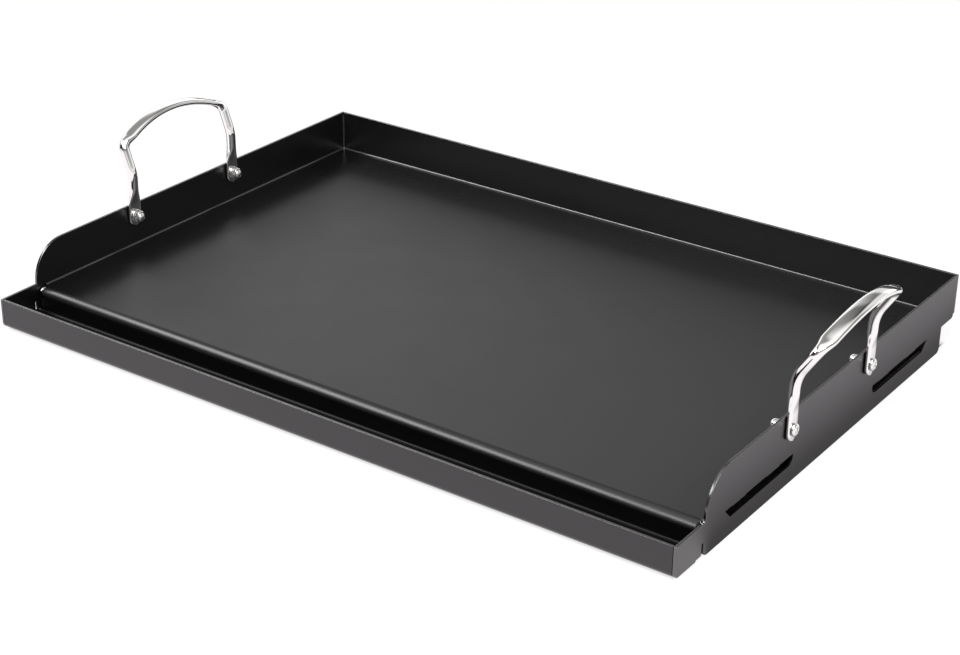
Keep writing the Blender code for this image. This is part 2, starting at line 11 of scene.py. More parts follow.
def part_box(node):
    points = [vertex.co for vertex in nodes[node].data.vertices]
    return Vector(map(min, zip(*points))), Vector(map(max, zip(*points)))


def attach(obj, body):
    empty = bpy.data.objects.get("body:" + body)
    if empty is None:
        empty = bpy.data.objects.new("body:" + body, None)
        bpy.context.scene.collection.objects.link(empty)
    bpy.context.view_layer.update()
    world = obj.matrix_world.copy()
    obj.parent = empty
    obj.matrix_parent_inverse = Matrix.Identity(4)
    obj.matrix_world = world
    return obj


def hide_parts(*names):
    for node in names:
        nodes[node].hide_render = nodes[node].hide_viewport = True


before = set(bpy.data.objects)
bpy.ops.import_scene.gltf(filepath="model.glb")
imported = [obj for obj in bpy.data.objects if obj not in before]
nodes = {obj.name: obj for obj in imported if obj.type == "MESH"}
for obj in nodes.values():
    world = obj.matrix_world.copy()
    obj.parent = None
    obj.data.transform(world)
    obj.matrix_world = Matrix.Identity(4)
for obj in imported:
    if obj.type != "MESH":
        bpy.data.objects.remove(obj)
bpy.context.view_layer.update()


# Pan. One sheet of 2 mm carbon steel makes the back wall, the cooking plate, the rolled front
# edge and the grease trough. It is cut and folded, and then sprayed and baked black all over,
# which leaves a satin skin with a soft broad sheen and a fine orange peel.
MM = 0.001
PAN_EDGE = 0.35 * MM
ROUNDING_STEPS = 2
SHARP_FROM = math.radians(40)
FLAT_WITHIN = math.radians(0.4)
MERGE_WITHIN = 0.0005 * MM
FLAT_FACE_WEIGHT = 100


def rounded_copy(node, name, width):
    """A merged copy of a CAD node's mesh, its cut edges rounded over by the given width."""
    piece = bpy.data.objects.new(name, node.data.copy())
    bpy.context.scene.collection.objects.link(piece)
    bpy.ops.object.select_all(action="DESELECT")
    piece.select_set(True)
    bpy.context.view_layer.objects.active = piece
    bpy.ops.object.mode_set(mode="EDIT")
    bpy.ops.mesh.select_all(action="SELECT")
    bpy.ops.mesh.remove_doubles(threshold=MERGE_WITHIN)
    bpy.ops.mesh.dissolve_limited(angle_limit=FLAT_WITHIN)
    bpy.ops.object.mode_set(mode="OBJECT")
    bpy.ops.object.shade_smooth()
    rounding = piece.modifiers.new("rounded edges", "BEVEL")
    rounding.width = width
    rounding.segments = ROUNDING_STEPS
    rounding.limit_method = "ANGLE"
    rounding.angle_limit = SHARP_FROM
    rounding.use_clamp_overlap = False
    flats = piece.modifiers.new("flat faces stay flat", "WEIGHTED_NORMAL")
    flats.weight = FLAT_FACE_WEIGHT
    for modifier in list(piece.modifiers):
        bpy.ops.object.modifier_apply(modifier=modifier.name)
    return piece


def give_finishes(piece, finishes):
    """Gives a piece these materials in place of its own."""
    piece.data.materials.clear()
    for finish in finishes:
        piece.data.materials.append(finish)


def from_hex(text):
    """An sRGB hex colour as linear RGBA."""
    channels = [int(text[place:place + 2], 16) / 255 for place in (1, 3, 5)]
    linear = [c / 12.92 if c <= 0.04045 else ((c + 0.055) / 1.055) ** 2.4 for c in channels]
    return (*linear, 1.0)


def add_node(tree, kind, inputs=None, **settings):
    """Adds a node; inputs gives sockets, by name or number, a value or another node's output."""
    node = tree.nodes.new(kind)
    for name, value in settings.items():
        setattr(node, name, value)
    for socket, value in (inputs or {}).items():
        if isinstance(value, bpy.types.NodeSocket):
            tree.links.new(value, node.inputs[socket])
        else:
            node.inputs[socket].default_value = value
    return node


def new_finish(name):
    """A new material, its node tree and its shader."""
    material = bpy.data.materials.new(name)
    material.use_nodes = True
    return material, material.node_tree, material.node_tree.nodes["Principled BSDF"]


# Baked black coating: a heat-proof silicone paint. Its colour and gloss drift a little over the
# sheet, and its orange peel, 1.1 mm from bump to bump, keeps reflections soft. Its shine leans
# a trace towards violet. Most of a noise texture's values lie within NOISE_SPREAD.
COATING = from_hex("#050505")
COATING_THIN = from_hex("#090809")
COATING_CAST = from_hex("#fffcfe")
COATING_IOR = 1.65
COATING_ROUGHNESS = (0.29, 0.33)
COATING_DRIFT = 45 * MM
ORANGE_PEEL = 1.1 * MM
ORANGE_PEEL_DEPTH = 0.004 * MM
NOISE_SPREAD = (0.3, 0.7)

baked_coating, tree, shader = new_finish("baked_black_coating")
place = add_node(tree, "ShaderNodeTexCoord").outputs["Object"]
drift = add_node(tree, "ShaderNodeTexNoise", {
    "Vector": place, "Scale": 1 / COATING_DRIFT, "Detail": 3.0})
peel = add_node(tree, "ShaderNodeTexNoise", {
    "Vector": place, "Scale": 1 / ORANGE_PEEL, "Detail": 1.0})
color = add_node(tree, "ShaderNodeMix", {
    "Factor": drift.outputs["Fac"], "A": COATING, "B": COATING_THIN}, data_type="RGBA")
gloss = add_node(tree, "ShaderNodeMapRange", {
    "Value": drift.outputs["Fac"], "From Min": NOISE_SPREAD[0], "From Max": NOISE_SPREAD[1],
    "To Min": COATING_ROUGHNESS[0], "To Max": COATING_ROUGHNESS[1]})
bump = add_node(tree, "ShaderNodeBump", {
    "Height": peel.outputs["Fac"], "Distance": ORANGE_PEEL_DEPTH})
tree.links.new(color.outputs["Result"], shader.inputs["Base Color"])
tree.links.new(gloss.outputs["Result"], shader.inputs["Roughness"])
tree.links.new(bump.outputs["Normal"], shader.inputs["Normal"])
shader.inputs["IOR"].default_value = COATING_IOR
shader.inputs["Specular Tint"].default_value = COATING_CAST

# On the broad cooking plate the spray lands drier than on the walls, and wetter again in a strip
# along them. So the sheen is softest in the middle of the plate, and sharper beside the walls.
INNER_WALLS = (290 * MM, 202 * MM)
WET_WITHIN = 75 * MM
WET_ROUGHNESS = -0.09
DRY_ROUGHNESS = 0.14

plate_coating = baked_coating.copy()
plate_coating.name = "seasoned_black_coating"
tree = plate_coating.node_tree
place = tree.nodes["Texture Coordinate"].outputs["Object"]
axes = add_node(tree, "ShaderNodeSeparateXYZ", {0: place})
across = add_node(tree, "ShaderNodeMath", {0: axes.outputs["X"]}, operation="ABSOLUTE")
from_side = add_node(tree, "ShaderNodeMath", {
    0: INNER_WALLS[0], 1: across.outputs[0]}, operation="SUBTRACT")
from_back = add_node(tree, "ShaderNodeMath", {
    0: INNER_WALLS[1], 1: axes.outputs["Y"]}, operation="SUBTRACT")
nearest = add_node(tree, "ShaderNodeMath", {
    0: from_side.outputs[0], 1: from_back.outputs[0]}, operation="MINIMUM")
dryness = add_node(tree, "ShaderNodeMapRange", {
    "Value": nearest.outputs[0], "From Min": 0.0, "From Max": WET_WITHIN,
    "To Min": WET_ROUGHNESS, "To Max": DRY_ROUGHNESS}, interpolation_type="SMOOTHSTEP")
gloss = add_node(tree, "ShaderNodeMath", {
    0: tree.nodes["Map Range"].outputs["Result"], 1: dryness.outputs["Result"]},
    operation="ADD")
tree.links.new(gloss.outputs[0], tree.nodes["Principled BSDF"].inputs["Roughness"])

# The trough is a narrow place for the spray, so its coating is thinner, drier and duller.
DRY_IOR = 1.25

trough_coating = baked_coating.copy()
trough_coating.name = "dry_black_coating"
trough_coating.node_tree.nodes["Principled BSDF"].inputs["IOR"].default_value = DRY_IOR

# Along cut edges and in the tight back fold the wet coating draws together and bakes glassy, so
# thin light lines run along them.
GLASSY_IOR = 2.2
GLASSY_CAST = from_hex("#ffffff")
GLASSY_ROUGHNESS = (0.22, 0.26)

edge_coating = baked_coating.copy()
edge_coating.name = "glassy_black_coating"
shader = edge_coating.node_tree.nodes["Principled BSDF"]
shader.inputs["IOR"].default_value = GLASSY_IOR
shader.inputs["Specular Tint"].default_value = GLASSY_CAST
gloss = edge_coating.node_tree.nodes["Map Range"]
gloss.inputs["To Min"].default_value = GLASSY_ROUGHNESS[0]
gloss.inputs["To Max"].default_value = GLASSY_ROUGHNESS[1]

# Where each coating lies on the pan, by the place and the facing of its faces.
SQUARE_ON = 0.98
TROUGH_ACROSS = (-202.2 * MM, -167.5 * MM)
TROUGH_DOWN = (-18.2 * MM, -3.5 * MM)
BACK_RIM = 33.3 * MM
BACK_FOLD = 199.0 * MM
TROUGH_RIM = (-201.5 * MM, 3.3 * MM)
PLATE_TOP_WITHIN = 1.0 * MM

pan = rounded_copy(nodes["pan"], "folded_pan", PAN_EDGE)
pan_finishes = [baked_coating, trough_coating, edge_coating, plate_coating]
give_finishes(pan, pan_finishes)
for face in pan.data.polygons:
    middle, facing = face.center, face.normal
    in_trough = (TROUGH_ACROSS[0] < middle.y < TROUGH_ACROSS[1]
                 and TROUGH_DOWN[0] < middle.z < TROUGH_DOWN[1])
    sloping = max(abs(facing.y), abs(facing.z)) < SQUARE_ON
    in_back_fold = sloping and middle.y > BACK_FOLD and middle.z > 0
    on_front_rim = middle.y < TROUGH_RIM[0] and middle.z > TROUGH_RIM[1]
    if in_trough:
        face.material_index = pan_finishes.index(trough_coating)
    elif middle.z > BACK_RIM or in_back_fold or on_front_rim:
        face.material_index = pan_finishes.index(edge_coating)
    elif facing.z > SQUARE_ON and abs(middle.z) < PLATE_TOP_WITHIN:
        face.material_index = pan_finishes.index(plate_coating)
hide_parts("pan")
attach(pan, "root")


# Side plates. Each is laser cut from the same 2 mm sheet with its skirt, vent slots and trough
# end, and welded to the pan before both are coated together. The coat is glassy along the cut
# rim, and dry in the slots and the slit, where little spray gets in.
SIDE_PLATE_EDGE = 0.3 * MM
FLAT_SIDE = 0.95
RIM_FROM = -1.0 * MM

for name in ("left_side_plate", "right_side_plate"):
    plate = rounded_copy(nodes[name], name.replace("plate", "sheet"), SIDE_PLATE_EDGE)
    plate_finishes = [baked_coating, edge_coating, trough_coating]
    give_finishes(plate, plate_finishes)
    for face in plate.data.polygons:
        if abs(face.normal.x) < FLAT_SIDE:
            along_rim = face.center.z > RIM_FROM or face.center.y < TROUGH_RIM[0]
            edge_finish = edge_coating if along_rim else trough_coating
            face.material_index = plate_finishes.index(edge_finish)
    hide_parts(name)
    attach(plate, "root")


# Weld beads. The side plates are welded to the pan inside the corners, in the trough's ends and
# by short stitches under the plate. The same coating covers them, dull in the trough, and they
# only show as ripples.
RIPPLE = 1.6 * MM
RIPPLE_DEPTH = 0.05 * MM
RIPPLE_WANDER = 1.5
WAVE_BANDS = 2 * math.pi / 20
COATED_WELD_ROUGHNESS = 0.26
COATED_WELD_IOR = 1.9

coated_weld, tree, shader = new_finish("coated_weld_bead")
place = add_node(tree, "ShaderNodeTexCoord").outputs["Object"]
ripples = add_node(tree, "ShaderNodeTexWave", {
    "Vector": place, "Scale": WAVE_BANDS / RIPPLE, "Distortion": RIPPLE_WANDER, "Detail": 1.0},
    bands_direction="DIAGONAL")
color = add_node(tree, "ShaderNodeMix", {
    "Factor": ripples.outputs["Fac"], "A": COATING, "B": COATING_THIN}, data_type="RGBA")
bump = add_node(tree, "ShaderNodeBump", {
    "Height": ripples.outputs["Fac"], "Distance": RIPPLE_DEPTH})
tree.links.new(color.outputs["Result"], shader.inputs["Base Color"])
tree.links.new(bump.outputs["Normal"], shader.inputs["Normal"])
shader.inputs["Roughness"].default_value = COATED_WELD_ROUGHNESS
shader.inputs["IOR"].default_value = COATED_WELD_IOR

for name in nodes:
    if name.endswith("_weld") or "_stitch_weld_" in name:
        nodes[name].data.materials[0] = trough_coating if "_trough_" in name else coated_weld


# Roll tacks. A rounded tack closes the notch at each end of the rolled edge. It is ground after
# coating, so bare bright metal shows there as a small glint, with fine grinding marks.
GROUND_DARK = from_hex("#b5b2ad")
GROUND_LIGHT = from_hex("#dcd9d4")
GROUND_ROUGHNESS = 0.25
GRINDING = 0.3 * MM
GRINDING_STRETCH = 0.15
GRINDING_DEPTH = 0.01 * MM

ground_weld, tree, shader = new_finish("ground_weld_metal")
place = add_node(tree, "ShaderNodeTexCoord").outputs["Object"]
stretched = add_node(tree, "ShaderNodeMapping", {
    "Vector": place, "Scale": (GRINDING_STRETCH, 1.0, 1.0)})
marks = add_node(tree, "ShaderNodeTexNoise", {
    "Vector": stretched.outputs["Vector"], "Scale": 1 / GRINDING})
color = add_node(tree, "ShaderNodeMix", {
    "Factor": marks.outputs["Fac"], "A": GROUND_DARK, "B": GROUND_LIGHT}, data_type="RGBA")
bump = add_node(tree, "ShaderNodeBump", {
    "Height": marks.outputs["Fac"], "Distance": GRINDING_DEPTH})
tree.links.new(color.outputs["Result"], shader.inputs["Base Color"])
tree.links.new(bump.outputs["Normal"], shader.inputs["Normal"])
shader.inputs["Metallic"].default_value = 1.0
shader.inputs["Roughness"].default_value = GROUND_ROUGHNESS

for name in ("left_roll_tack", "right_roll_tack"):
    nodes[name].data.materials[0] = ground_weld


# Right roll bead. At the right end of the roll the weld climbs onto the side plate, at the foot
# of its arc. It is burnt dull black, and a few small drops of bright spatter stick to it.
BEAD_MIDDLE = Vector((289.4, -168.8, 2.4)) * MM
BEAD_HALF = Vector((2.6, 6.6, 2.3)) * MM
DROPS = (((290.6, -167.0, 4.5), 0.8), ((291.0, -169.6, 4.1), 0.7), ((290.8, -171.6, 3.8), 0.6),
         ((290.1, -168.4, 4.7), 0.5), ((289.6, -171.2, 4.3), 0.45))
BLOB_SIDES = 24
BLOB_RINGS = 12


def round_blob(name, middle, half):
    """A sphere drawn out to the given half sizes, with its place in its mesh."""
    bpy.ops.object.select_all(action="DESELECT")
    bpy.ops.mesh.primitive_uv_sphere_add(segments=BLOB_SIDES, ring_count=BLOB_RINGS, radius=1,
                                         location=(0, 0, 0))
    blob = bpy.context.object
    blob.name = name
    bpy.ops.object.mode_set(mode="EDIT")
    bpy.ops.mesh.select_all(action="SELECT")
    bpy.ops.transform.resize(value=half)
    bpy.ops.transform.translate(value=middle)
    bpy.ops.object.mode_set(mode="OBJECT")
    bpy.ops.object.shade_smooth()
    return blob


bead = round_blob("right_roll_bead", BEAD_MIDDLE, BEAD_HALF)
bead.data.materials.append(trough_coating)
drops = [round_blob("spatter_drop", Vector(middle) * MM, Vector((radius, radius, radius)) * MM)
         for middle, radius in DROPS]
for drop in drops:
    drop.select_set(True)
bpy.context.view_layer.objects.active = drops[0]
bpy.ops.object.join()
spatter = bpy.context.object
spatter.name = "right_weld_spatter"
spatter.data.materials.append(ground_weld)
for piece in (bead, spatter):
    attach(piece, "root")


# Handles. Each is one 7.5 mm stainless steel rod, bent to shape, with its feet pressed into flat
# drilled tabs and its middle pressed into a broad arched grip, and then polished bright. The left
# one is screwed on inside its side plate and the right one outside.
ROD_DIAMETER = 7.5 * MM
HANDLE_SPAN = 115 * MM
TAB_WIDTH = 12.5 * MM
TAB_THICKNESS = 2.8 * MM
TAB_END = 8.2 * MM
TAB_TIP = 0.16
TAB_SHOULDER = 15.5 * MM
TAB_SQUARENESS = 4
SHOULDER_ABOVE_RIM = 0.2 * MM
ROD_SET_BACK = 0.5 * MM
KINK_ABOVE_RIM = 26 * MM
KINK_RADIUS = 32 * MM
CORNER_ABOVE_RIM = 48.4 * MM
CORNER_RADIUS = 8 * MM
LEG_LEAN = {"left": math.radians(20.2), "right": math.radians(32.5)}
GRIP_WIDTH = 12 * MM
GRIP_THICKNESS = 4.4 * MM
GRIP_RISE = 14.5 * MM
GRIP_LEAN = math.radians(20)
GRIP_SHOULDER = 11 * MM
GRIP_SQUARENESS = 3
SCREW_HOLE = 5.6 * MM
SEAT_GAP = 0.3 * MM
RIM_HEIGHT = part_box("left_side_plate")[1][2]

# Steps along the rod. The corner is aimed at a point a few steps along the arch, and the arch
# starts clear of it. The hole's sides aren't a multiple of four, so no corner of it meets a ring.
ROD_SIDES = 48
HOLE_SIDES = 50
TIP_STEPS = 14
SHOULDER_STEPS = 18
KINK_STEPS = 12
CORNER_STEPS = 20
ARCH_STEPS = 60
ARCH_AIM = 4
ARCH_CLEAR = 1.0 * MM
SMOOTH_BELOW = math.radians(50)


def round_corner(corner, toward_start, toward_end, radius, steps):
    """Points of the arc that rounds a corner between two directions."""
    half = toward_start.angle(toward_end) / 2
    centre = corner + (toward_start + toward_end).normalized() * radius / math.sin(half)
    start = corner + toward_start * radius / math.tan(half) - centre
    end = corner + toward_end * radius / math.tan(half) - centre
    sweep = start.angle(end)
    arc = []
    for step in range(steps + 1):
        share = step / steps
        spoke = start * math.sin((1 - share) * sweep) + end * math.sin(share * sweep)
        arc.append(centre + spoke / math.sin(sweep))
    return arc


def smooth_step(value):
    """From 0 to 1 with a level start and end, and held there beyond."""
    value = min(max(value, 0.0), 1.0)
    return value * value * (3 - 2 * value)


def rod_middle_line(tab_bottom, leg_lean):
    """Points (outward lean, place along the griddle's side, height) from one foot to the other."""
    half = HANDLE_SPAN / 2
    kink = RIM_HEIGHT + KINK_ABOVE_RIM
    corner = RIM_HEIGHT + CORNER_ABOVE_RIM
    corner_lean = (corner - kink) * math.tan(leg_lean) - ROD_SET_BACK
    arch = []
    for step in range(ARCH_STEPS + 1):
        share = 2 * step / ARCH_STEPS - 1
        rise = GRIP_RISE * (1 - share * share)
        lean = corner_lean + rise * math.tan(GRIP_LEAN)
        arch.append(Vector((lean, share * half, corner + rise)))

    shoulder = RIM_HEIGHT + SHOULDER_ABOVE_RIM
    leg = []
    for step in range(TIP_STEPS + 1):
        turned = math.pi / 2 * step / TIP_STEPS
        leg.append(Vector((0, -half, tab_bottom + TAB_WIDTH / 2 * (1 - math.cos(turned)))))
    leg.append(Vector((0, -half, (leg[-1].z + shoulder) / 2)))
    for step in range(SHOULDER_STEPS + 1):
        share = step / SHOULDER_STEPS
        set_back = ROD_SET_BACK * smooth_step(share)
        leg.append(Vector((-set_back, -half, shoulder + TAB_SHOULDER * share)))

    kink_point = Vector((-ROD_SET_BACK, -half, kink))
    up_leg = (arch[0] - kink_point).normalized()
    up_arch = (arch[ARCH_AIM] - arch[0]).normalized()
    bend = round_corner(kink_point, Vector((0, 0, -1)), up_leg, KINK_RADIUS, KINK_STEPS)
    turn = round_corner(arch[0], -up_leg, up_arch, CORNER_RADIUS, CORNER_STEPS)
    near = leg + bend + turn
    far = [Vector((point.x, -point.y, point.z)) for point in reversed(near)]
    grip = [point for point in arch if abs(point.y) < abs(turn[-1].y) - ARCH_CLEAR]
    return near + grip + far


def squared(half_wide, half_thick, squareness, cosine, sine):
    """A point of a rounded oblong section, squarer than an ellipse."""
    return Vector((half_wide * math.copysign(abs(cosine) ** (2 / squareness), cosine),
                   half_thick * math.copysign(abs(sine) ** (2 / squareness), sine)))


def pressed_section(cosine, sine, from_end, tab_length, along, height):
    """Where one point of the round rod goes in its section: (across the rod's plane, in it)."""
    section = Vector((cosine, sine)) * ROD_DIAMETER / 2
    tab_half = TAB_WIDTH / 2
    if from_end < tab_half:
        short = tab_half - from_end
        tab_half = math.sqrt(max(tab_half ** 2 - short ** 2, (TAB_TIP * tab_half) ** 2))
    tab = squared(TAB_THICKNESS / 2, tab_half, TAB_SQUARENESS, cosine, sine)
    section = tab.lerp(section, smooth_step((from_end - tab_length) / TAB_SHOULDER))
    if height > RIM_HEIGHT + CORNER_ABOVE_RIM - CORNER_RADIUS:
        grip = squared(GRIP_WIDTH / 2, GRIP_THICKNESS / 2, GRIP_SQUARENESS, cosine, sine)
        from_leg = HANDLE_SPAN / 2 - abs(along)
        section = section.lerp(grip, smooth_step(from_leg / GRIP_SHOULDER))
    return section


def ringed_rod(name, rings):
    """A straight upright rod of unit size, with the given number of rings along it."""
    bpy.ops.object.select_all(action="DESELECT")
    bpy.ops.mesh.primitive_cylinder_add(vertices=ROD_SIDES, radius=1, depth=1,
                                        location=(0, 0, 0))
    rod = bpy.context.object
    rod.name = name
    bpy.ops.object.mode_set(mode="EDIT")
    bpy.ops.mesh.select_mode(type="EDGE")
    bpy.ops.mesh.select_all(action="DESELECT")
    shape = bmesh.from_edit_mesh(rod.data)
    for edge in shape.edges:
        edge.select = edge.verts[0].co.z != edge.verts[1].co.z
    bmesh.update_edit_mesh(rod.data)
    bpy.ops.mesh.subdivide_edgering(number_cuts=rings - 2, interpolation="LINEAR")
    bpy.ops.object.mode_set(mode="OBJECT")
    return rod


def drill_foot(rod, tab_middle, foot):
    """Cuts a screw hole through one of the rod's tabs."""
    bpy.ops.object.select_all(action="DESELECT")
    bpy.ops.mesh.primitive_cylinder_add(
        vertices=HOLE_SIDES, radius=SCREW_HOLE / 2, depth=2 * ROD_DIAMETER,
        location=(tab_middle, foot.y, foot.z), rotation=(0, math.pi / 2, 0))
    drill = bpy.context.object
    hole = rod.modifiers.new("drilled foot", "BOOLEAN")
    hole.object = drill
    bpy.context.view_layer.objects.active = rod
    bpy.ops.object.modifier_apply(modifier=hole.name)
    bpy.data.objects.remove(drill)


def bent_handle(side):
    """One side's rod, pressed and bent ring by ring, with its feet drilled."""
    outward = -1 if side == "left" else 1
    plate_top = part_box(side + "_side_plate")[1]
    screws = [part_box(f"{side}_{end}_screw") for end in ("front", "rear")]
    feet = [Vector([(least + most) / 2 for least, most in zip(low, high)])
            for low, high in screws]
    tab_middle = plate_top[0] + SEAT_GAP + TAB_THICKNESS / 2
    middle = (feet[0].y + feet[1].y) / 2
    tab_bottom = feet[0].z - TAB_END
    tab_length = RIM_HEIGHT + SHOULDER_ABOVE_RIM - tab_bottom
    line = rod_middle_line(tab_bottom, LEG_LEAN[side])
    last = len(line) - 1
    travelled = [0.0]
    for first, second in zip(line, line[1:]):
        travelled.append(travelled[-1] + (second - first).length)

    rod = ringed_rod(side + "_bent_handle", len(line))
    rod_foot = min(vertex.co.z for vertex in rod.data.vertices)
    straight = rod.data.attributes.new("straight_rod", "FLOAT_VECTOR", "POINT")
    for vertex in rod.data.vertices:
        cosine, sine = vertex.co.x, vertex.co.y
        ring = round((vertex.co.z - rod_foot) * last)
        point = line[ring]
        along = (line[min(ring + 1, last)] - line[max(ring - 1, 0)]).normalized()
        out = Vector((1, 0, 0))
        out = (out - along * along.dot(out)).normalized()
        up = along.cross(out)
        from_end = min(travelled[ring], travelled[-1] - travelled[ring])
        wide, thick = pressed_section(cosine, sine, from_end, tab_length, point.y, point.z)
        bent = point + out * wide + up * thick
        straight.data[vertex.index].vector = (wide, thick, travelled[ring])
        vertex.co = (tab_middle + outward * bent.x, middle + bent.y, bent.z)

    for foot in feet:
        drill_foot(rod, tab_middle, foot)
    rod.select_set(True)
    bpy.ops.object.mode_set(mode="EDIT")
    bpy.ops.mesh.select_all(action="SELECT")
    bpy.ops.mesh.normals_make_consistent(inside=False)
    bpy.ops.object.mode_set(mode="OBJECT")
    bpy.ops.object.shade_smooth_by_angle(angle=SMOOTH_BELOW)
    return rod


# Polished stainless steel: buffed along the rod, so it mirrors the studio, with faint streaks
# that run along it. Real buffing marks are finer than a tenth of a millimetre; they are drawn
# 0.6 mm apart so that they show.
STAINLESS = from_hex("#f6f5f3")
STAINLESS_HAZY = from_hex("#e9e8e6")
STAINLESS_ROUGHNESS = (0.06, 0.14)
STREAK = 0.6 * MM
STREAK_STRETCH = 0.05
STREAK_DEPTH = 0.0015 * MM
HAZE = 12 * MM

polished_stainless, tree, shader = new_finish("polished_stainless_steel")
place = add_node(tree, "ShaderNodeAttribute", attribute_name="straight_rod").outputs["Vector"]
stretched = add_node(tree, "ShaderNodeMapping", {
    "Vector": place, "Scale": (1.0, 1.0, STREAK_STRETCH)})
streaks = add_node(tree, "ShaderNodeTexNoise", {
    "Vector": stretched.outputs["Vector"], "Scale": 1 / STREAK})
haze = add_node(tree, "ShaderNodeTexNoise", {
    "Vector": place, "Scale": 1 / HAZE, "Detail": 2.0})
color = add_node(tree, "ShaderNodeMix", {
    "Factor": haze.outputs["Fac"], "A": STAINLESS, "B": STAINLESS_HAZY}, data_type="RGBA")
gloss = add_node(tree, "ShaderNodeMapRange", {
    "Value": streaks.outputs["Fac"], "From Min": NOISE_SPREAD[0], "From Max": NOISE_SPREAD[1],
    "To Min": STAINLESS_ROUGHNESS[0], "To Max": STAINLESS_ROUGHNESS[1]})
bump = add_node(tree, "ShaderNodeBump", {
    "Height": streaks.outputs["Fac"], "Distance": STREAK_DEPTH})
tree.links.new(color.outputs["Result"], shader.inputs["Base Color"])
tree.links.new(gloss.outputs["Result"], shader.inputs["Roughness"])
tree.links.new(bump.outputs["Normal"], shader.inputs["Normal"])
shader.inputs["Metallic"].default_value = 1.0

for side in ("left", "right"):
    handle = bent_handle(side)
    handle.data.materials.append(polished_stainless)
    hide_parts(side + "_handle")
    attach(handle, "root")


# Screws, washers and cap nuts. Pan head screws with a cross recess hold each foot, with a plain
# washer and a domed nut inside. They are steel with bright nickel plating, which is smooth but
# a little softer in its reflections than the polished handle.
FASTENER_EDGE = 0.2 * MM
NICKEL = from_hex("#f7f6f5")
NICKEL_DULL = from_hex("#e7e6e4")
NICKEL_ROUGHNESS = (0.18, 0.28)
PLATING_GRAIN = 0.5 * MM
PLATING_GRAIN_DEPTH = 0.002 * MM

nickel_plating, tree, shader = new_finish("bright_nickel_plating")
place = add_node(tree, "ShaderNodeTexCoord").outputs["Object"]
grain = add_node(tree, "ShaderNodeTexNoise", {
    "Vector": place, "Scale": 1 / PLATING_GRAIN, "Detail": 2.0})
color = add_node(tree, "ShaderNodeMix", {
    "Factor": grain.outputs["Fac"], "A": NICKEL, "B": NICKEL_DULL}, data_type="RGBA")
gloss = add_node(tree, "ShaderNodeMapRange", {
    "Value": grain.outputs["Fac"], "From Min": NOISE_SPREAD[0], "From Max": NOISE_SPREAD[1],
    "To Min": NICKEL_ROUGHNESS[0], "To Max": NICKEL_ROUGHNESS[1]})
bump = add_node(tree, "ShaderNodeBump", {
    "Height": grain.outputs["Fac"], "Distance": PLATING_GRAIN_DEPTH})
tree.links.new(color.outputs["Result"], shader.inputs["Base Color"])
tree.links.new(gloss.outputs["Result"], shader.inputs["Roughness"])
tree.links.new(bump.outputs["Normal"], shader.inputs["Normal"])
shader.inputs["Metallic"].default_value = 1.0

for name in list(nodes):
    if name.endswith(("_screw", "_washer", "_cap_nut")):
        fastener = rounded_copy(nodes[name], name + "_plated", FASTENER_EDGE)
        give_finishes(fastener, [nickel_plating])
        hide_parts(name)
        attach(fastener, "root")


# Studio floor. The griddle lies on a wide pale floor that runs on into a white background, and
# its shadow falls there. Under the griddle the floor's colour is painted dark, a painted shade,
# so what the coating mirrors of it is dark there; it is dark behind the griddle too, and dim close
# beside the right side plate, where a painted shadow lies in what the coating mirrors.
FLOOR_HEIGHT = -21.2 * MM
FLOOR_SIZE = 12.0
FLOOR_PALE = from_hex("#f3f3f3")
# Under the griddle the floor's colour is a painted shade.
FLOOR_PAINTED_SHADE = from_hex("#272727")
FLOOR_ROUGHNESS = 0.9
SEEN_WHITE = from_hex("#ffffff")
SEEN_WHITE_SHARE = 0.85
MIRRORED_WHITE = from_hex("#fffbfe")
MIRRORED_FLOOR = 1.13
# The floor's glow, as the coating mirrors it, in the painted shadow beside the right side plate.
MIRRORED_PAINTED_SHADOW = 0.34
MIRRORED_BEHIND = 0.05
UNDER_ACROSS = (288.5 * MM, 289.5 * MM)
UNDER_ALONG = (188 * MM, 204 * MM)
BESIDE_ACROSS = (300 * MM, 345 * MM)
BESIDE_LEFT_OVER = 0.02
BESIDE_SLOPE = 1.418
BESIDE_ALONG = (-586 * MM, -574 * MM)
BEHIND = (-0.5765, 0.8171, 0)
BEHIND_FROM = (260 * MM, 300 * MM)

bpy.ops.object.select_all(action="DESELECT")
bpy.ops.mesh.primitive_plane_add(size=FLOOR_SIZE, location=(0, 0, FLOOR_HEIGHT))
floor = bpy.context.object
floor.name = "studio_floor"
floor_paint, tree, shader = new_finish("pale_floor")
rays = add_node(tree, "ShaderNodeLightPath")
place = add_node(tree, "ShaderNodeTexCoord").outputs["Object"]
axes = add_node(tree, "ShaderNodeSeparateXYZ", {0: place})

# From 0 under the griddle to 1 outside its footprint.
clear_of = []
for axis, (inner, outer) in (("X", UNDER_ACROSS), ("Y", UNDER_ALONG)):
    far = add_node(tree, "ShaderNodeMath", {0: axes.outputs[axis]}, operation="ABSOLUTE")
    clear_of.append(add_node(tree, "ShaderNodeMapRange", {
        "Value": far.outputs[0], "From Min": inner, "From Max": outer},
        interpolation_type="SMOOTHSTEP"))
outside = add_node(tree, "ShaderNodeMath", {
    0: clear_of[0].outputs[0], 1: clear_of[1].outputs[0]}, operation="MAXIMUM")

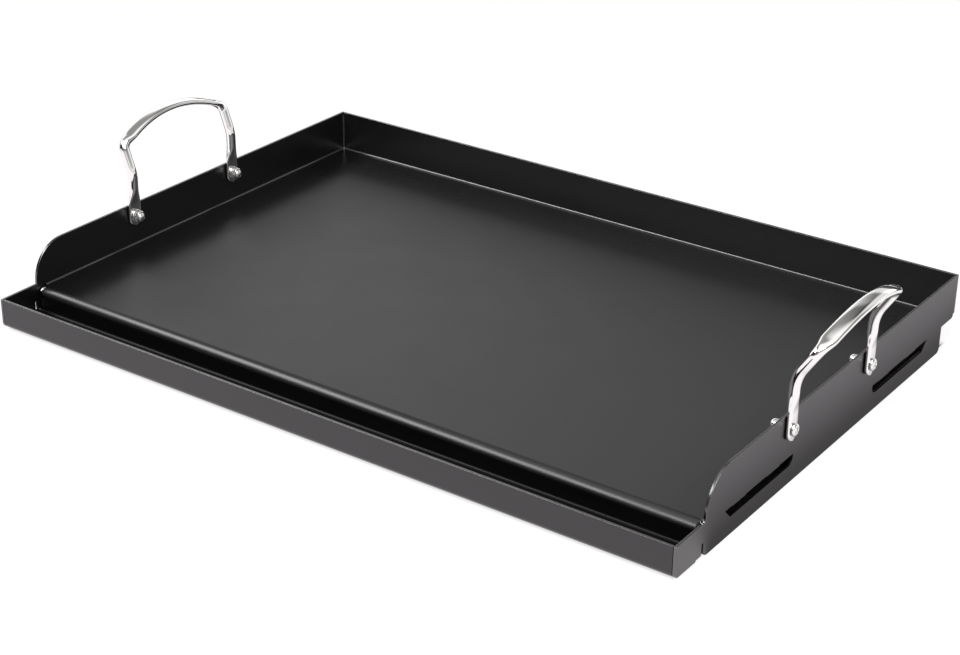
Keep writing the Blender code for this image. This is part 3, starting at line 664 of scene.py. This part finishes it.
# A painted shadow dims the floor in a strip beside the right side plate, in what the coating
# mirrors only. It fades outwards, and starts on a slanting line.
fading = add_node(tree, "ShaderNodeMapRange", {
    "Value": axes.outputs["X"], "From Min": BESIDE_ACROSS[0], "From Max": BESIDE_ACROSS[1],
    "To Min": 1.0, "To Max": BESIDE_LEFT_OVER}, clamp=False)
slanted = add_node(tree, "ShaderNodeMath", {
    0: axes.outputs["X"], 1: -BESIDE_SLOPE, 2: axes.outputs["Y"]}, operation="MULTIPLY_ADD")
started = add_node(tree, "ShaderNodeMapRange", {
    "Value": slanted.outputs[0], "From Min": BESIDE_ALONG[0], "From Max": BESIDE_ALONG[1]},
    interpolation_type="SMOOTHSTEP")
on_right = add_node(tree, "ShaderNodeMath", {
    0: axes.outputs["X"], 1: UNDER_ACROSS[0]}, operation="GREATER_THAN")
painted_shadow_strip = add_node(tree, "ShaderNodeMath", {
    0: started.outputs["Result"], 1: on_right.outputs[0]}, operation="MULTIPLY")
painted_shadow_strip = add_node(tree, "ShaderNodeMath", {
    0: painted_shadow_strip.outputs[0], 1: fading.outputs["Result"]}, operation="MULTIPLY")
mirrored = add_node(tree, "ShaderNodeMix", {
    "Factor": painted_shadow_strip.outputs[0], "A": MIRRORED_FLOOR, "B": MIRRORED_PAINTED_SHADOW})

# Behind the griddle the mirrored floor goes dark. BEHIND points level across the griddle, from
# its right front corner to the left rear.
how_far = add_node(tree, "ShaderNodeVectorMath", {0: place, 1: BEHIND}, operation="DOT_PRODUCT")
darkened = add_node(tree, "ShaderNodeMapRange", {
    "Value": how_far.outputs["Value"], "From Min": BEHIND_FROM[0], "From Max": BEHIND_FROM[1]},
    interpolation_type="SMOOTHSTEP")
mirrored = add_node(tree, "ShaderNodeMix", {
    "Factor": darkened.outputs["Result"], "A": mirrored.outputs["Result"],
    "B": MIRRORED_BEHIND})

# Seen straight on, most of the floor is plain white, and the rest of it takes the shadow.
strength = add_node(tree, "ShaderNodeMix", {
    "Factor": rays.outputs["Is Camera Ray"], "A": mirrored.outputs["Result"], "B": 1.0})
tint = add_node(tree, "ShaderNodeMix", {
    "Factor": rays.outputs["Is Camera Ray"], "A": MIRRORED_WHITE, "B": SEEN_WHITE},
    data_type="RGBA")
white = add_node(tree, "ShaderNodeEmission", {
    "Color": tint.outputs["Result"], "Strength": strength.outputs["Result"]})
share = add_node(tree, "ShaderNodeMath", {
    0: rays.outputs["Is Camera Ray"], 1: SEEN_WHITE_SHARE}, operation="MULTIPLY")
share = add_node(tree, "ShaderNodeMath", {
    0: share.outputs[0], 1: rays.outputs["Is Glossy Ray"]}, operation="MAXIMUM")
share = add_node(tree, "ShaderNodeMath", {
    0: share.outputs[0], 1: outside.outputs[0]}, operation="MULTIPLY")
# Under the griddle the floor's colour is a painted shade, dark in place of the shade that falls
# there.
paint = add_node(tree, "ShaderNodeMix", {
    "Factor": outside.outputs[0], "A": FLOOR_PAINTED_SHADE, "B": FLOOR_PALE}, data_type="RGBA")
tree.links.new(paint.outputs["Result"], shader.inputs["Base Color"])
shader.inputs["Roughness"].default_value = FLOOR_ROUGHNESS
shader.inputs["Specular IOR Level"].default_value = 0.0
mixed = add_node(tree, "ShaderNodeMixShader", {
    0: share.outputs[0], 1: shader.outputs[0], 2: white.outputs[0]})
tree.links.new(mixed.outputs[0], tree.nodes["Material Output"].inputs["Surface"])
floor.data.materials.append(floor_paint)


# World. The room is soft and plain, dim on the far left, and white where the camera sees it.
# The plate mirrors a white sweep behind it, brightest low down and on the left, that fades to a
# dark curtain on the right. White shows beyond the curtain, overhead and low down at the right.
WORLD_WHITE = from_hex("#ffffff")
SIDEWAYS = (0.8171, 0.5765, 0)
ROOM = 0.25
ROOM_LEFT = 0.03
ROOM_LEFT_TO = (-0.9, -0.5)
BACK_FROM = (0.2, 0.5)
SWEEP = 1.2
SWEEP_FADES = (-0.06, 0.23)
SWEEP_TOP = (0.50, 0.62)
ABOVE_SWEEP = 0.26
CURTAIN = 0.15
CURTAIN_ENDS = (0.24, 0.33)
BEYOND_CURTAIN = 0.85
OVERHEAD = 0.9
OVERHEAD_FROM = (0.80, 0.95)
LOW_BAND = 0.6
LOW_BAND_TOP = (0.17, 0.26)
LOW_BAND_FROM = (-0.3, 0.0)

world = bpy.data.worlds.new("studio")
bpy.context.scene.world = world
world.use_nodes = True
tree = world.node_tree
rays = add_node(tree, "ShaderNodeLightPath")
direction = add_node(tree, "ShaderNodeTexCoord").outputs["Generated"]
height = add_node(tree, "ShaderNodeSeparateXYZ", {0: direction}).outputs["Z"]
sideways = add_node(tree, "ShaderNodeVectorMath", {
    0: direction, 1: SIDEWAYS}, operation="DOT_PRODUCT").outputs["Value"]
behind = add_node(tree, "ShaderNodeVectorMath", {
    0: direction, 1: BEHIND}, operation="DOT_PRODUCT").outputs["Value"]

# The sweep, its curtain and what lies beyond them. SIDEWAYS points level to the right of BEHIND.
across = add_node(tree, "ShaderNodeMapRange", {
    "Value": sideways, "From Min": SWEEP_FADES[0], "From Max": SWEEP_FADES[1],
    "To Min": 1.0, "To Max": CURTAIN})
upwards = add_node(tree, "ShaderNodeMapRange", {
    "Value": height, "From Min": SWEEP_TOP[0], "From Max": SWEEP_TOP[1],
    "To Min": 1.0, "To Max": ABOVE_SWEEP}, interpolation_type="SMOOTHSTEP")
sweep = add_node(tree, "ShaderNodeMath", {
    0: across.outputs["Result"], 1: upwards.outputs["Result"]}, operation="MULTIPLY")
sweep = add_node(tree, "ShaderNodeMath", {0: sweep.outputs[0], 1: SWEEP}, operation="MULTIPLY")
past = add_node(tree, "ShaderNodeMapRange", {
    "Value": sideways, "From Min": CURTAIN_ENDS[0], "From Max": CURTAIN_ENDS[1]},
    interpolation_type="SMOOTHSTEP")
sweep = add_node(tree, "ShaderNodeMix", {
    "Factor": past.outputs["Result"], "A": sweep.outputs[0], "B": BEYOND_CURTAIN})

# The rest of the room, then the light overhead and the low band.
around = add_node(tree, "ShaderNodeMapRange", {
    "Value": sideways, "From Min": ROOM_LEFT_TO[0], "From Max": ROOM_LEFT_TO[1],
    "To Min": ROOM_LEFT, "To Max": ROOM}, interpolation_type="SMOOTHSTEP")
back_half = add_node(tree, "ShaderNodeMapRange", {
    "Value": behind, "From Min": BACK_FROM[0], "From Max": BACK_FROM[1]},
    interpolation_type="SMOOTHSTEP")
room = add_node(tree, "ShaderNodeMix", {
    "Factor": back_half.outputs["Result"], "A": around.outputs["Result"],
    "B": sweep.outputs["Result"]})
overhead = add_node(tree, "ShaderNodeMapRange", {
    "Value": height, "From Min": OVERHEAD_FROM[0], "From Max": OVERHEAD_FROM[1],
    "To Min": 0.0, "To Max": OVERHEAD}, interpolation_type="SMOOTHSTEP")
lit = add_node(tree, "ShaderNodeMath", {
    0: room.outputs["Result"], 1: overhead.outputs["Result"]}, operation="ADD")
low = add_node(tree, "ShaderNodeMapRange", {
    "Value": height, "From Min": LOW_BAND_TOP[0], "From Max": LOW_BAND_TOP[1],
    "To Min": 1.0, "To Max": 0.0}, interpolation_type="SMOOTHSTEP")
rightwards = add_node(tree, "ShaderNodeMapRange", {
    "Value": sideways, "From Min": LOW_BAND_FROM[0], "From Max": LOW_BAND_FROM[1]},
    interpolation_type="SMOOTHSTEP")
low_band = add_node(tree, "ShaderNodeMath", {
    0: low.outputs["Result"], 1: rightwards.outputs["Result"]}, operation="MULTIPLY")
lit = add_node(tree, "ShaderNodeMath", {
    0: low_band.outputs[0], 1: LOW_BAND, 2: lit.outputs[0]}, operation="MULTIPLY_ADD")
strength = add_node(tree, "ShaderNodeMix", {
    "Factor": rays.outputs["Is Camera Ray"], "A": lit.outputs[0], "B": 1.0})
backdrop = tree.nodes["Background"]
backdrop.inputs["Color"].default_value = WORLD_WHITE
tree.links.new(strength.outputs["Result"], backdrop.inputs["Strength"])


# Lamps. One wide softbox at the front left draws the light line along the roll, and a weaker
# one above the camera fills the fronts.
def add_softbox(name, toward, distance, size, radiance):
    """A rectangular lamp that faces the griddle from the given direction."""
    place = Vector(toward).normalized() * distance
    lamp = bpy.data.lights.new(name, "AREA")
    lamp.shape = "RECTANGLE"
    lamp.size, lamp.size_y = size
    lamp.energy = radiance * math.pi * size[0] * size[1]
    item = bpy.data.objects.new(name, lamp)
    item.location = place
    item.rotation_mode = "QUATERNION"
    item.rotation_quaternion = place.to_track_quat("Z", "Y")
    bpy.context.scene.collection.objects.link(item)


add_softbox("front_left_softbox", toward=(-0.52, -0.54, 0.68), distance=1.55, size=(1.4, 0.5),
            radiance=6.8)
add_softbox("camera_side_softbox", toward=(0.5, -0.55, 0.95), distance=2.2, size=(2.0, 1.6),
            radiance=6.0)


# Camera. It stands off the right front corner and looks down at the plate. Its place, lens and
# shift are those that put the straight edges of the griddle where the photograph has them.
AZIMUTH = math.radians(35.206)
ELEVATION = math.radians(25.972)
ROLL = math.radians(0.622)
DISTANCE = 1493.5 * MM
TARGET = Vector((15.426, -21.832, 0)) * MM
LENS = 76.1535
SENSOR_WIDTH = 36
SHIFT = (0.003372, -0.002145)

level = Vector((math.cos(AZIMUTH), math.sin(AZIMUTH), 0))
flat_back = Vector((math.sin(AZIMUTH), -math.cos(AZIMUTH), 0))
back = flat_back * math.cos(ELEVATION) + Vector((0, 0, math.sin(ELEVATION)))
above = back.cross(level)
right = level * math.cos(ROLL) + above * math.sin(ROLL)
up = above * math.cos(ROLL) - level * math.sin(ROLL)
camera_data = bpy.data.cameras.new("camera")
camera_data.lens = LENS
camera_data.sensor_width = SENSOR_WIDTH
camera_data.shift_x, camera_data.shift_y = SHIFT
camera = bpy.data.objects.new("camera", camera_data)
turn = Matrix((right, up, back)).transposed()
camera.matrix_world = Matrix.Translation(TARGET + back * DISTANCE) @ turn.to_4x4()
bpy.context.scene.collection.objects.link(camera)
bpy.context.scene.camera = camera
bpy.context.scene.view_settings.view_transform = "Standard"
